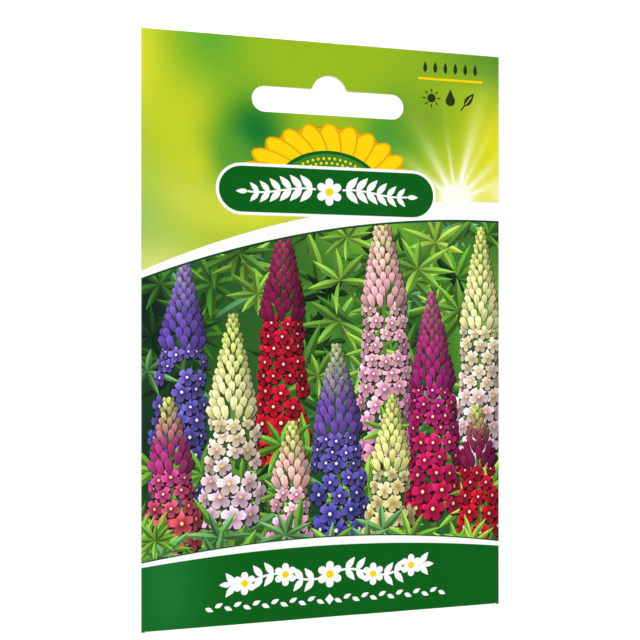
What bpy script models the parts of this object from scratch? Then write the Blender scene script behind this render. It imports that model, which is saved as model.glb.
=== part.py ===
"""Paper seed packet with a euro slot in its header and loose seeds in its pouch.

Frame: metres, +Z up. The printed front faces -Y and X runs along the packet's width. The origin is
where a peg carries the hanging packet: the highest point of the slot's round bump, midway between
the front and back panels of the header.
"""
import math
import random

import bmesh
import bpy
from mathutils import Matrix, Vector

# Driving dimensions of the packet, in metres
WIDTH = 0.080
HEIGHT = 0.125
PAPER = 0.0002
LAYER_GAP = 0.0001

# Euro slot: a long round-ended slot with a round bump for the peg, heights from the bottom edge
SLOT_WIDTH = 0.0340
SLOT_LOBE_HEIGHT = 0.00554
SLOT_LOBE_CENTRE = 0.1120
SLOT_BUMP_RADIUS = 0.00395
SLOT_BUMP_TOP = 0.1179
SLOT_FILLET = 0.0007
SLOT_CUT_DEPTH = 0.0040

# Flaps: the side flaps overlap by SEAM_HALF each side of the middle, the bottom flap comes up last
SEAM_HALF = 0.0050
SEAM_STEP_START = 0.0056
SEAM_STEP_END = 0.0076
BOTTOM_FLAP_HEIGHT = 0.0130
BOTTOM_FLAP_INSET = 0.0006
BOTTOM_FLAP_TAPER = 0.0016

# Pouch: how far seeds push the panels out, and where the swelling begins, stays full and ends
FRONT_BULGE = 0.0007
BACK_BULGE = 0.0032
BULGE_FULL_FROM = 0.0205
BULGE_FULL_TO = 0.0350
BULGE_END = 0.1030

# Seeds: a flattened egg with a dent at its scar
SEED_LENGTH = 0.0042
SEED_HEIGHT = 0.0034
SEED_THICKNESS = 0.0023
SEED_COUNT = 36
SEED_LOWEST = 0.0080
SEED_ROWS = 10
SEED_COLUMNS = 9
SEED_CLEARANCE = 0.0003
SEED_TILT = math.radians(22)
SEED_DENT = 0.16
SEED_REPOSE = 0.42

# Worked out from the driving dimensions
FOLD_RADIUS = (LAYER_GAP + PAPER) / 2
FOLD_X = WIDTH / 2 - FOLD_RADIUS - PAPER / 2
LAYER_PITCH = PAPER + LAYER_GAP
FOLD_STEPS = 6
BOTTOM_RISE = FOLD_RADIUS + LAYER_PITCH
BOTTOM_CENTRE = BOTTOM_RISE + PAPER / 2
BACK_EDGE = BOTTOM_CENTRE + LAYER_GAP / 2

HALF_LINES = [
    0.0, SEAM_HALF, SEAM_STEP_START, SEAM_STEP_END, 0.013, 0.019, 0.025, 0.031, 0.036,
    FOLD_X - BOTTOM_FLAP_INSET, FOLD_X,
]
LINES = sorted({-x for x in HALF_LINES} | set(HALF_LINES))
ROWS = [
    BOTTOM_CENTRE, 0.0016, 0.0032, 0.0052, 0.0076, 0.0102, BOTTOM_FLAP_HEIGHT, 0.017, BULGE_FULL_FROM,
    0.028, BULGE_FULL_TO, 0.043, 0.052, 0.061, 0.070, 0.079, 0.088, 0.096, BULGE_END, HEIGHT,
]


def swelling(x, height):
    """How full the pouch is at a point of a panel, from 0 at its folds and header to 1."""
    across = 1 - min(1.0, abs(x) / FOLD_X) ** 3
    if height < BULGE_FULL_FROM:
        short = (BULGE_FULL_FROM - height) / (BULGE_FULL_FROM - BOTTOM_CENTRE)
        up = 1 - min(1.0, short) ** 2
    elif height > BULGE_FULL_TO:
        gone = min(1.0, (height - BULGE_FULL_TO) / (BULGE_END - BULGE_FULL_TO))
        up = 0.5 + 0.5 * math.cos(math.pi * gone)
    else:
        up = 1.0
    return across * up


def seam_step(x):
    """1 over the glued seam, where a layer lies on another, and 0 beside it."""
    along = (SEAM_STEP_END - abs(x)) / (SEAM_STEP_END - SEAM_STEP_START)
    return min(1.0, max(0.0, along))


def front_y(x, height):
    """Middle of the paper of the front panel."""
    return -FOLD_RADIUS - FRONT_BULGE * swelling(x, height)


def back_y(x, height):
    """Middle of the paper of the back panel's inner layer."""
    return FOLD_RADIUS + BACK_BULGE * swelling(x, height)


def outer_flap_y(x, height):
    """Middle of the paper of the right flap, which rides over the left one at the seam."""
    return back_y(x, height) + LAYER_PITCH * seam_step(x)


def bottom_flap_y(x, height):
    """Middle of the paper of the bottom flap, which lies over both side flaps."""
    return back_y(x, height) + LAYER_PITCH * (1 + seam_step(x))


def blank_columns():
    """Stations across the flat blank, from the left flap's free edge to the right flap's."""
    turns = [math.pi / 2 - math.pi * k / FOLD_STEPS for k in range(1, FOLD_STEPS)]
    columns = [("left_flap", x) for x in reversed(LINES) if x <= SEAM_HALF]
    columns += [("left_fold", turn) for turn in turns]
    columns += [("front", x) for x in LINES]
    columns += [("right_fold", -turn) for turn in turns]
    columns += [("right_flap", x) for x in reversed(LINES) if x >= -SEAM_HALF]
    return columns


def blank_rows():
    """Stations up the flat blank, from the bottom flap's free edge to the header's top."""
    turns = [math.pi / 2 - math.pi * k / FOLD_STEPS for k in range(1, FOLD_STEPS)]
    rows = [("bottom_flap", h) for h in reversed(ROWS) if h <= BOTTOM_FLAP_HEIGHT]
    rows += [("bottom_fold", turn) for turn in turns]
    rows += [("panel", h) for h in ROWS]
    return rows


def lowest_height(zone, value):
    """Height of the paper's lowest point in a column: the fold's start, or the cut edge."""
    if zone.endswith("fold") or abs(value) >= FOLD_X:
        return 0.0
    return BOTTOM_CENTRE if zone == "front" else BACK_EDGE


def folded_point(column, row):
    """Where a station of the flat blank lies once the packet is folded."""
    zone, value = column
    kind, level = row
    if kind == "bottom_flap":
        taper = BOTTOM_FLAP_TAPER * level / BOTTOM_FLAP_HEIGHT
        outermost = abs(value) >= FOLD_X - BOTTOM_FLAP_INSET
        x = math.copysign(abs(value) - taper, value) if outermost else value
        return Vector((x, bottom_flap_y(value, level), level))
    if kind == "bottom_fold":
        near = front_y(value, BOTTOM_CENTRE)
        far = bottom_flap_y(value, BOTTOM_CENTRE)
        y = (near + far) / 2 + (far - near) / 2 * math.sin(level)
        return Vector((value, y, BOTTOM_CENTRE - BOTTOM_RISE * math.cos(level)))
    height = lowest_height(zone, value) if level == BOTTOM_CENTRE else level
    if zone == "left_fold":
        return Vector((-FOLD_X - FOLD_RADIUS * math.cos(value), FOLD_RADIUS * math.sin(value), height))
    if zone == "right_fold":
        return Vector((FOLD_X + FOLD_RADIUS * math.cos(value), FOLD_RADIUS * math.sin(value), height))
    depth = {"front": front_y, "left_flap": back_y, "right_flap": outer_flap_y}[zone]
    return Vector((value, depth(value, height), height))


def folded_sheet():
    """The blank as one grid of faces, its spare lower corners cut off, folded into a packet."""
    columns = blank_columns()
    rows = blank_rows()
    bm = bmesh.new()
    bmesh.ops.create_grid(bm, x_segments=len(columns) - 1, y_segments=len(rows) - 1, size=0.5)
    spare = []
    for vert in bm.verts:
        column = columns[round((vert.co.x + 0.5) * (len(columns) - 1))]
        row = rows[round((vert.co.y + 0.5) * (len(rows) - 1))]
        on_flap = column[0] == "front" and abs(column[1]) < FOLD_X
        if row[0] != "panel" and not on_flap:
            spare.append(vert)
        else:
            vert.co = folded_point(column, row)
    bmesh.ops.delete(bm, geom=spare, context="VERTS")
    bmesh.ops.reverse_faces(bm, faces=bm.faces)
    mesh = bpy.data.meshes.new("envelope")
    bm.to_mesh(mesh)
    bm.free()
    return mesh


def arc(centre_x, centre_z, radius, start, end, steps):
    """Points on an arc, from one angle to another in degrees."""
    points = []
    for k in range(steps + 1):
        angle = math.radians(start + (end - start) * k / steps)
        points.append((centre_x + radius * math.cos(angle), centre_z + radius * math.sin(angle)))
    return points


def slot_outline():
    """The euro slot's outline, counter-clockwise from its lower right end."""
    lobe = SLOT_LOBE_HEIGHT / 2
    end_x = SLOT_WIDTH / 2 - lobe
    top = SLOT_LOBE_CENTRE + lobe
    bump_z = SLOT_BUMP_TOP - SLOT_BUMP_RADIUS
    fillet_z = top + SLOT_FILLET
    fillet_x = math.sqrt((SLOT_BUMP_RADIUS + SLOT_FILLET) ** 2 - (fillet_z - bump_z) ** 2)
    lean = math.degrees(math.atan2(fillet_z - bump_z, fillet_x))
    points = arc(end_x, SLOT_LOBE_CENTRE, lobe, -90, 90, 10)
    points += arc(fillet_x, fillet_z, SLOT_FILLET, 270, 180 + lean, 3)
    points += arc(0, bump_z, SLOT_BUMP_RADIUS, lean, 180 - lean, 12)[1:-1]
    points += arc(-fillet_x, fillet_z, SLOT_FILLET, -lean, -90, 3)
    points += arc(-end_x, SLOT_LOBE_CENTRE, lobe, 90, 270, 10)
    return points


def slot_cutter(collection):
    """A prism of the slot's outline that passes through every layer of the header."""
    curve = bpy.data.curves.new("slot_outline", "CURVE")
    curve.dimensions = "2D"
    curve.fill_mode = "BOTH"
    curve.extrude = SLOT_CUT_DEPTH
    outline = slot_outline()
    spline = curve.splines.new("POLY")
    spline.points.add(len(outline) - 1)
    for point, (x, z) in zip(spline.points, outline):
        point.co = (x, z, 0, 1)
    spline.use_cyclic_u = True
    flat = bpy.data.objects.new("slot_outline", curve)
    collection.objects.link(flat)
    bpy.context.view_layer.update()
    depsgraph = bpy.context.evaluated_depsgraph_get()
    mesh = bpy.data.meshes.new_from_object(flat.evaluated_get(depsgraph))
    bpy.data.objects.remove(flat)
    bm = bmesh.new()
    bm.from_mesh(mesh)
    bmesh.ops.remove_doubles(bm, verts=bm.verts, dist=0.000001)
    bmesh.ops.recalc_face_normals(bm, faces=bm.faces)
    bm.to_mesh(mesh)
    bm.free()
    cutter = bpy.data.objects.new("slot_cutter", mesh)
    collection.objects.link(cutter)
    cutter.location = (0, 0, -SLOT_BUMP_TOP)
    cutter.rotation_euler = (math.radians(90), 0, 0)
    cutter.hide_render = True
    cutter.display_type = "WIRE"
    return cutter


def material(name, colour, roughness):
    """A plain finish of one colour."""
    finish = bpy.data.materials.new(name)
    finish.use_nodes = True
    shader = finish.node_tree.nodes["Principled BSDF"]
    shader.inputs["Base Color"].default_value = (*colour, 1)
    shader.inputs["Roughness"].default_value = roughness
    shader.inputs["Metallic"].default_value = 0
    return finish


def make_envelope(parts, cutters):
    """The folded paper packet, its paper thickened both ways and the slot punched through."""
    mesh = folded_sheet()
    mesh.materials.append(material("printed_paper", (0.10, 0.30, 0.05), 0.35))
    envelope = bpy.data.objects.new("envelope", mesh)
    parts.objects.link(envelope)
    envelope.location = (0, 0, -SLOT_BUMP_TOP)
    split = envelope.modifiers.new("split_faces_alike", "TRIANGULATE")
    split.quad_method = "FIXED"
    paper = envelope.modifiers.new("paper", "SOLIDIFY")
    paper.thickness = PAPER
    paper.offset = 0
    punch = envelope.modifiers.new("slot", "BOOLEAN")
    punch.operation = "DIFFERENCE"
    punch.object = slot_cutter(cutters)
    return envelope


def seed_mesh():
    """A flattened egg lying along X, with a dent at one end where it hung in its pod."""
    bm = bmesh.new()
    bmesh.ops.create_uvsphere(bm, u_segments=10, v_segments=7, radius=0.5)
    for vert in bm.verts:
        x, y, z = vert.co * 2
        dent = SEED_DENT * math.exp(-((x - 1) ** 2 + (z * 0.9) ** 2) / 0.18)
        plump = 1 - 0.14 * x
        vert.co = Vector((
            (x - dent + SEED_DENT / 2) * SEED_LENGTH / (2 - SEED_DENT),
            y * plump * SEED_THICKNESS / 2,
            z * plump * SEED_HEIGHT / 2,
        ))
    mesh = bpy.data.meshes.new("seed")
    bm.to_mesh(mesh)
    bm.free()
    mesh.shade_smooth()
    mesh.materials.append(material("seed_coat", (0.16, 0.10, 0.06), 0.45))
    return mesh


def room_at(points, place):
    """How far a seed's outline may slide towards the front and towards the back, less clearance."""
    to_front = min(
        p.y - (front_y(p.x, p.z) + PAPER / 2) for p in (place @ point for point in points)
    )
    to_back = min(
        (back_y(p.x, p.z) - PAPER / 2) - p.y for p in (place @ point for point in points)
    )
    return to_front - SEED_CLEARANCE, to_back - SEED_CLEARANCE


def seed_places(points):
    """Where the seeds lie: staggered rows, wedged between the panels, heaped in the middle."""
    rng = random.Random(7)
    step = SEED_LENGTH + SEED_CLEARANCE + LAYER_GAP
    lattice = []
    for row in range(SEED_ROWS):
        height = SEED_LOWEST + row * step * math.sin(math.radians(60))
        for column in range(-SEED_COLUMNS, SEED_COLUMNS + 1):
            x = (column + 0.5 * (row % 2)) * step
            lattice.append((height + SEED_REPOSE * abs(x), height, x))
    places = []
    for _, height, x in sorted(lattice):
        turn = Matrix.Rotation(rng.uniform(-SEED_TILT, SEED_TILT), 4, "Y")
        if rng.random() < 0.5:
            turn = turn @ Matrix.Rotation(math.pi, 4, "Y")
        middle = (front_y(x, height) + back_y(x, height)) / 2
        place = Matrix.Translation((x, middle, height)) @ turn
        to_front, to_back = room_at(points, place)
        if min(to_front, to_back) < 0:
            if to_front + to_back < 0:
                continue
            place = Matrix.Translation((0, (to_back - to_front) / 2, 0)) @ place
            to_front, to_back = room_at(points, place)
        if min(to_front, to_back) < 0:
            continue
        lean = to_back if rng.random() < 0.5 else -to_front
        places.append(Matrix.Translation((0, lean, 0)) @ place)
        if len(places) == SEED_COUNT:
            break
    return places


def make_seeds(parts):
    """The loose seeds, each an object of its own that shares one mesh."""
    mesh = seed_mesh()
    points = [vert.co.copy() for vert in mesh.vertices]
    down = Matrix.Translation((0, 0, -SLOT_BUMP_TOP))
    for number, place in enumerate(seed_places(points), start=1):
        seed = bpy.data.objects.new(f"seed_{number:02d}", mesh)
        parts.objects.link(seed)
        seed.matrix_world = down @ place


def new_collection(name):
    """A collection linked to the scene."""
    collection = bpy.data.collections.new(name)
    bpy.context.scene.collection.children.link(collection)
    return collection


def main():
    for old in list(bpy.data.objects):
        bpy.data.objects.remove(old)
    parts = new_collection("seed_packet")
    cutters = new_collection("cutters")
    make_envelope(parts, cutters)
    make_seeds(parts)
    bpy.context.view_layer.update()


main()
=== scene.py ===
# %% [markdown]
# # A paper seed packet, printed flat and then folded
# The packet is one sheet of coated paper. A press prints the sheet while it is flat, a die cuts its outline
# and its hanging slot, and a machine folds and glues it around the seeds. This lesson works in the same
# order: draw the print flat, cut it, fold it, give it the thickness of paper, and then choose its finish.
# The frame holds the packet's solids. The origin is the top of the slot, where a peg carries the packet.

# %% Load the frame
import math
import random

import bpy
import numpy as np
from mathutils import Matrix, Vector
from mathutils.bvhtree import BVHTree
from mathutils.geometry import delaunay_2d_cdt


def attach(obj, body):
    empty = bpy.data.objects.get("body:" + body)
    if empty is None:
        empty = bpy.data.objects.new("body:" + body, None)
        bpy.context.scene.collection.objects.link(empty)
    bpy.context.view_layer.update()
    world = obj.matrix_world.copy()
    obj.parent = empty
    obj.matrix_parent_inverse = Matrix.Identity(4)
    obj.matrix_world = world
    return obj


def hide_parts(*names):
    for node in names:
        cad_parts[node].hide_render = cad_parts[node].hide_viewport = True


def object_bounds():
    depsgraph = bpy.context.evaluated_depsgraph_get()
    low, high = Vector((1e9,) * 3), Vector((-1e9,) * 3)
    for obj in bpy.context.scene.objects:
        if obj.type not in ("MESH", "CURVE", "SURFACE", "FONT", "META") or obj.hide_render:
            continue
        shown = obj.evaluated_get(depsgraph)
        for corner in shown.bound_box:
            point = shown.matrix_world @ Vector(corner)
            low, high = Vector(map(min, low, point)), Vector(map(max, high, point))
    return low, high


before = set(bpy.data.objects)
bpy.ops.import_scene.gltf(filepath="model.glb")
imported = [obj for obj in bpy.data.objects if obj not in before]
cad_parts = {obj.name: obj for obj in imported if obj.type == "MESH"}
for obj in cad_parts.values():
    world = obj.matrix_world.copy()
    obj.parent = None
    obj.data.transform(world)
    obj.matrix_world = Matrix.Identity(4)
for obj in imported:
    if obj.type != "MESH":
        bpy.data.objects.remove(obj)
cad_low, cad_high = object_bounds()
print("CAD box in mm:", [round(v * 1000, 2) for v in (*cad_low, *cad_high)])

# %% [markdown]
# ## Sizes of the sheet
# The print is drawn in millimetres, as a printer draws it, and turned into metres when it is folded.
# Heights are counted from the packet's bottom edge. These are the sizes that the solid was built from: the
# paper, the folds, the flaps behind and the room that the seeds push open.

# %% Sizes in millimetres
WIDTH = 80.0
HEIGHT = 125.0
PAPER = 0.2
LAYER_GAP = 0.1
PEG_HEIGHT = 117.9
SEAM_HALF = 5.0
SEAM_STEP_START = 5.6
SEAM_STEP_END = 7.6
BOTTOM_FLAP_HEIGHT = 13.0
BOTTOM_FLAP_INSET = 0.6
BOTTOM_FLAP_TAPER = 1.6
CORNER_CUT = 0.05
FRONT_BULGE = 0.7
BACK_BULGE = 3.2
BULGE_FULL_FROM = 20.5
BULGE_FULL_TO = 35.0
BULGE_END = 103.0
FOLD_RADIUS = (LAYER_GAP + PAPER) / 2
FOLD_X = WIDTH / 2 - FOLD_RADIUS - PAPER / 2
LAYER_PITCH = PAPER + LAYER_GAP
BOTTOM_RISE = FOLD_RADIUS + LAYER_PITCH
BOTTOM_CENTRE = BOTTOM_RISE + PAPER / 2
BACK_EDGE = BOTTOM_CENTRE + LAYER_GAP / 2
SIDE_ARC = math.pi * FOLD_RADIUS
BOTTOM_ARC = 1.2
BOTTOM_FLAP_HALF = FOLD_X - BOTTOM_FLAP_INSET
BOTTOM_FLAP_FOLD = BOTTOM_CENTRE - BOTTOM_ARC
FLAP_FREE_EDGE = FOLD_X + SIDE_ARC + FOLD_X + SEAM_HALF
FOLD_STEPS = 6
print("the flat sheet is", round(2 * FLAP_FREE_EDGE, 1), "mm wide")

# %% [markdown]
# ## How the flat sheet folds
# A point of the flat sheet has a place across it, s, and a place up it, r. The front panel lies in the
# middle, a side flap on each side of it and the bottom flap below. Each fold is half a turn round a very
# small radius. A formula folds the sheet, because it keeps every layer exactly one gap from the next, which
# bending by eye would not.


# %% Fold a point of the flat sheet
def swelling(x, height):
    """How full the pouch is at a point, from 0 at its folds and header to 1."""
    across = 1 - min(1.0, abs(x) / FOLD_X) ** 3
    if height < BULGE_FULL_FROM:
        up = 1 - min(1.0, (BULGE_FULL_FROM - height) / (BULGE_FULL_FROM - BOTTOM_CENTRE)) ** 2
    elif height > BULGE_FULL_TO:
        falling = min(1.0, (height - BULGE_FULL_TO) / (BULGE_END - BULGE_FULL_TO))
        up = 0.5 + 0.5 * math.cos(math.pi * falling)
    else:
        up = 1.0
    return across * up


def seam_step(x):
    """1 over the glued seam at the back and 0 beside it."""
    return min(1.0, max(0.0, (SEAM_STEP_END - abs(x)) / (SEAM_STEP_END - SEAM_STEP_START)))


def front_y(x, height):
    return -FOLD_RADIUS - FRONT_BULGE * swelling(x, height)


def back_y(x, height, layer):
    return FOLD_RADIUS + BACK_BULGE * swelling(x, height) + LAYER_PITCH * layer


def fold(s, r):
    """Where a point of the flat sheet lies in the folded packet, in millimetres from its bottom edge."""
    side = math.copysign(1, s)
    if r < BOTTOM_CENTRE and abs(s) <= BOTTOM_FLAP_HALF + 0.0001:
        layers = 1 + seam_step(s)
        if r < BOTTOM_FLAP_FOLD:
            height = 2 * BOTTOM_CENTRE - BOTTOM_ARC - r
            return s, back_y(s, height, layers), height
        turn = -math.pi / 2 + math.pi * (BOTTOM_CENTRE - r) / BOTTOM_ARC
        near, far = front_y(s, BOTTOM_CENTRE), back_y(s, BOTTOM_CENTRE, layers)
        y = (near + far) / 2 + (far - near) / 2 * math.sin(turn)
        return s, y, BOTTOM_CENTRE - BOTTOM_RISE * math.cos(turn)
    if abs(s) <= FOLD_X:
        return s, front_y(s, r), r
    if abs(s) < FOLD_X + SIDE_ARC:
        turn = -math.pi / 2 + math.pi * (abs(s) - FOLD_X) / SIDE_ARC
        return side * (FOLD_X + FOLD_RADIUS * math.cos(turn)), FOLD_RADIUS * math.sin(turn), r
    x = side * (2 * FOLD_X + SIDE_ARC - abs(s))
    return x, back_y(x, r, seam_step(x) if side > 0 else 0), r


def flap_s(x, side):
    """Where a place x of the packet's back lies on the flat sheet, on its left (-1) or right (1) flap."""
    return side * (2 * FOLD_X + SIDE_ARC) - x


print("the seam's outer layer lies at y =", round(fold(flap_s(0, 1), 60)[1], 2), "mm")

# %% [markdown]
# ## A print is a pile of shapes
# Each shape has an outline and a rule for its colour, and a shape drawn later covers what lies under it, as
# inks do. At the end the pile is flattened into one sheet of triangles, so every edge of the print is a
# real mesh edge and stays crisp however near the camera comes. A painted image would blur there.


# %% The pile of shapes
SHAPES = []
HOLE = "hole"


def mix(a, b, share):
    share = min(1.0, max(0.0, share))
    return tuple(p + (q - p) * share for p, q in zip(a, b))


def ink(red, green, blue):
    """A colour as a printer names it, 0 to 255 for each part."""
    return (red / 255, green / 255, blue / 255)


def lighter(colour, amount):
    """A colour brightened (amount over 1) or darkened (under 1)."""
    return tuple(min(1.0, c * amount) for c in colour)


def divided(route, longest=3.0):
    """The points of a route, with more between two that lie far apart, so that it can follow the pouch."""
    points = []
    for (ax, ay), (bx, by) in zip(route, route[1:]):
        parts = max(1, math.ceil(math.hypot(bx - ax, by - ay) / longest))
        points += [(ax + (bx - ax) * k / parts, ay + (by - ay) * k / parts) for k in range(parts)]
    return points + [route[-1]]


def draw(outline, colour):
    """Lays a shape on the pile. The outline goes round it, and colour is an ink or a rule of s and r."""
    area = sum(a[0] * b[1] - b[0] * a[1] for a, b in zip(outline, outline[1:] + outline[:1]))
    if abs(area) > 0.0005:
        outline = divided(outline + outline[:1])[:-1]
        SHAPES.append((outline if area > 0 else outline[::-1], colour))


def turned(points, s, r, angle, wide=1.0):
    """Points turned by an angle, narrowed across the page by wide, and set at a place."""
    c, n = math.cos(angle), math.sin(angle)
    return [(s + wide * (x * c - y * n), r + x * n + y * c) for x, y in points]


print("halfway from black to white:", mix((0, 0, 0), (1, 1, 1), 0.5))

# %% [markdown]
# The press works with a few inks that return all over the packet. They get names, so that the same green in
# the header, the footer and on the back stays the same green.

# %% Inks of the whole packet
WHITE = ink(250, 251, 249)
DEEP_GREEN = ink(0, 94, 20)
LINE_GREEN = ink(8, 70, 30)
SUN_YELLOW = ink(255, 213, 0)
FOOTER_GLOW = ink(24, 116, 48)
print("the deep green, from 0 to 1:", [round(part, 2) for part in DEEP_GREEN])

# %% [markdown]
# ## The blank
# The die cuts one cross-shaped piece: front panel, two side flaps that meet behind in a seam, and a bottom
# flap with slanted ends. A hair-thin cut at each lower corner lets the bottom flap fold by itself. The
# blank is the first shape of the pile, in bare white paper.


# %% Cut the blank
def blank_outline():
    """The right half of the die's outline, then the same mirrored."""
    half = [
        (BOTTOM_FLAP_HALF - BOTTOM_FLAP_TAPER, 2 * BOTTOM_CENTRE - BOTTOM_ARC - BOTTOM_FLAP_HEIGHT),
        (BOTTOM_FLAP_HALF, BOTTOM_FLAP_FOLD),
        (BOTTOM_FLAP_HALF, BOTTOM_CENTRE),
        (BOTTOM_FLAP_HALF + CORNER_CUT, BOTTOM_CENTRE - CORNER_CUT),
        (BOTTOM_FLAP_HALF + CORNER_CUT, 0.0),
        (FOLD_X + SIDE_ARC, 0.0),
        (FOLD_X + SIDE_ARC + BOTTOM_FLAP_INSET, BACK_EDGE),
        (FLAP_FREE_EDGE, BACK_EDGE),
        (FLAP_FREE_EDGE, HEIGHT),
    ]
    return half + [(-s, r) for s, r in reversed(half)]


draw(blank_outline(), WHITE)
blank_heights = [r for _, r in SHAPES[0][0]]
print("the blank is", round(max(blank_heights) - min(blank_heights), 1), "mm high")

# %% [markdown]
# ## The bands of the front
# Flat arcs divide the front: a header, a white sweep, the picture with a thin dark line over it, a white
# arc and a footer. Each arc is part of a circle through three points: its left end, a point near the middle
# and its right end. That is easier to set than a centre far outside the packet.


# %% Arcs that divide the front
def arc_height(left, middle, right):
    """The rule of a circle's arc through three points, as a height for each s."""
    (ax, ay), (bx, by), (cx, cy) = left, middle, right
    d = 2 * (ax * (by - cy) + bx * (cy - ay) + cx * (ay - by))
    a2, b2, c2 = ax * ax + ay * ay, bx * bx + by * by, cx * cx + cy * cy
    ux = (a2 * (by - cy) + b2 * (cy - ay) + c2 * (ay - by)) / d
    uy = (a2 * (cx - bx) + b2 * (ax - cx) + c2 * (bx - ax)) / d
    radius = math.hypot(ax - ux, ay - uy)
    return lambda s: uy + math.sqrt(max(0.0, radius * radius - (s - ux) ** 2))


header_edge = arc_height((-40, 74.8), (-6.1, 86.6), (40, 91.7))
picture_top = arc_height((-40, 73.0), (-6.5, 83.0), (40, 87.2))
picture_low = arc_height((-40, 14.4), (-6.5, 17.7), (40, 14.4))
footer_top = arc_height((-40, 13.4), (-6.5, 15.9), (40, 13.3))
BLEED = FOLD_X + SIDE_ARC


def band(low, high, colour, steps=30):
    """A band of the front between two rules of height."""
    across = [-BLEED + 2 * BLEED * k / steps for k in range(steps + 1)]
    draw([(s, low(s)) for s in across] + [(s, high(s)) for s in reversed(across)], colour)


print("the white sweep widens from", round(header_edge(-40) - picture_top(-40), 1), "to",
      round(header_edge(40) - picture_top(40), 1), "mm")

# %% [markdown]
# ## The garden picture: the ground
# The picture is a flower bed in full sun. Behind lies deep green shade with soft light coming through. A
# plain fade from one green to another would look flat, so the ground is a pile of soft round spots: each
# line gives a spot's place, its width and height, and its ink.


# %% Ground
rng = random.Random(21)
SHADE = ink(14, 44, 22)
GROUND_GREEN = ink(40, 92, 34)
LEAF_DARK = ink(34, 88, 34)
LEAF_MID = ink(90, 158, 44)
LEAF_LIGHT = ink(166, 218, 74)
LEAF_COOL = ink(96, 158, 100)
GROUND_SPOTS = [
    (-38, 68, 9, 16, ink(10, 36, 26)),
    (-36, 38, 8, 14, ink(12, 42, 28)),
    (-26, 78, 9, 8, ink(34, 90, 40)),
    (10, 84, 14, 8, ink(122, 182, 56)),
    (38, 62, 10, 18, ink(118, 180, 50)),
    (-2, 62, 9, 14, ink(72, 136, 42)),
    (30, 24, 12, 10, ink(40, 96, 40)),
    (4, 24, 14, 8, ink(20, 58, 28)),
]


def blurred(s, r, base, spots):
    """A colour from large soft spots laid over each other."""
    colour = base
    for centre_s, centre_r, wide, tall, spot in spots:
        away = ((s - centre_s) / wide) ** 2 + ((r - centre_r) / tall) ** 2
        colour = mix(colour, spot, math.exp(-away))
    return colour


def ground(s, r):
    return blurred(s, r, GROUND_GREEN, GROUND_SPOTS)


band(picture_low, picture_top, ground)
print("soft spots in the ground:", len(GROUND_SPOTS))

# %% [markdown]
# ## The garden picture: leaves
# Each leaf is two halves, one lit and one in shade, with its rib where they meet, so that it reads as a
# leaf at any distance. Leaflets that fan out from one stalk make a spray. Hundreds of sprays and single
# leaves are strewn by a seeded random draw, the far and dark ones first and the near and bright ones last.

# %% Leaves and sprays
LIT_SIDE = 1.16
SHADED_SIDE = 0.74


def half_leaf(length, width, side, steps=5):
    """Half a pointed leaf along +x, on one side of its rib."""
    rim = []
    for k in range(1, steps):
        t = k / steps
        rim.append((length * t, side * width / 2 * math.sin(math.pi * t ** 0.8)))
    return [(0, 0)] + rim + [(length, 0)]


def leaf(s, r, length, width, angle, colour):
    """One leaf from its stalk outwards, its upper half lit."""
    for side in (-1, 1):
        lit = LIT_SIDE if side * math.cos(angle) > 0 else SHADED_SIDE
        near = lighter(colour, lit * 0.72)
        far = lighter(colour, lit * 1.1)

        def shade(x, y, near=near, far=far):
            return mix(near, far, math.hypot(x - s, y - r) / length)

        draw(turned(half_leaf(length, width, side), s, r, angle), shade)


def spray(s, r, reach, leaflets, colour, facing=math.pi / 2, spread=math.radians(290)):
    """Leaflets that fan out from one stalk."""
    for k in range(leaflets):
        angle = facing - spread / 2 + spread * k / (leaflets - 1) + rng.uniform(-0.12, 0.12)
        size = reach * rng.uniform(0.8, 1.1) * (0.8 + 0.2 * abs(math.cos(angle)))
        leaf(s, r, size, reach * rng.uniform(0.17, 0.24), angle, lighter(colour, rng.uniform(0.8, 1.22)))


print("half a leaf has", len(half_leaf(1, 1, 1)), "points")

# %% [markdown]
# A stretch of the bed is strewn, not planted leaf by leaf. Each leaf's ink lies between a dark and a light
# one: lighter towards the sun at the upper right, and a little by chance. A few leaves are of a cooler
# green, as leaves are that turn their undersides up.

# %% Leaf bed
COOL_SHARE = 0.14
SPRAY_SHARE = 0.6


def leaf_bed(count, low, high, reach, dark, light):
    """Sprays and single leaves strewn over a stretch of the picture, brightest at its upper right."""
    for _ in range(count):
        s = rng.uniform(-42, 42)
        r = rng.uniform(low, high)
        sun = 0.5 + 0.34 * (s + 40) / 80 + 0.2 * (r - 14) / 72
        colour = mix(dark, light, sun * rng.random() ** 0.8)
        if rng.random() < COOL_SHARE:
            colour = mix(colour, LEAF_COOL, 0.8)
        if rng.random() < SPRAY_SHARE:
            spray(s, r, reach * rng.uniform(0.75, 1.2), rng.choice((6, 7, 8)), colour,
                  rng.uniform(0.8, 2.3))
        else:
            leaf(s, r, reach * rng.uniform(1.0, 1.5), reach * 0.26, rng.uniform(0.3, 2.8), colour)


leaf_bed(80, 16, 88, 8.5, SHADE, LEAF_MID)
leaf_bed(75, 18, 88, 8.0, LEAF_DARK, LEAF_LIGHT)
print("shapes so far:", len(SHAPES))

# %% [markdown]
# ## The garden picture: flowers and buds
# A flower is five broad petals around an eye. It lies over a dark patch, which stands for the shadow that
# it throws on its neighbours. Without that patch, flowers of one colour would run together. Each petal is
# darker at its heart than at its rim. A bud is a single petal shape over a patch of the same kind.


# %% Flowers and buds
def petal_outline(length, width, steps=7):
    """A round-ended petal along +x, narrow at its foot."""
    points = []
    for k in range(steps):
        turn = math.pi * (2 * k + 1) / steps
        x = length * (0.5 - 0.5 * math.cos(turn))
        points.append((x, width / 2 * math.sin(turn) * (0.5 + 0.6 * x / length)))
    return points


def ring_outline(radius, steps):
    return [(radius * math.cos(2 * math.pi * k / steps), radius * math.sin(2 * math.pi * k / steps))
            for k in range(steps)]


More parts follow.
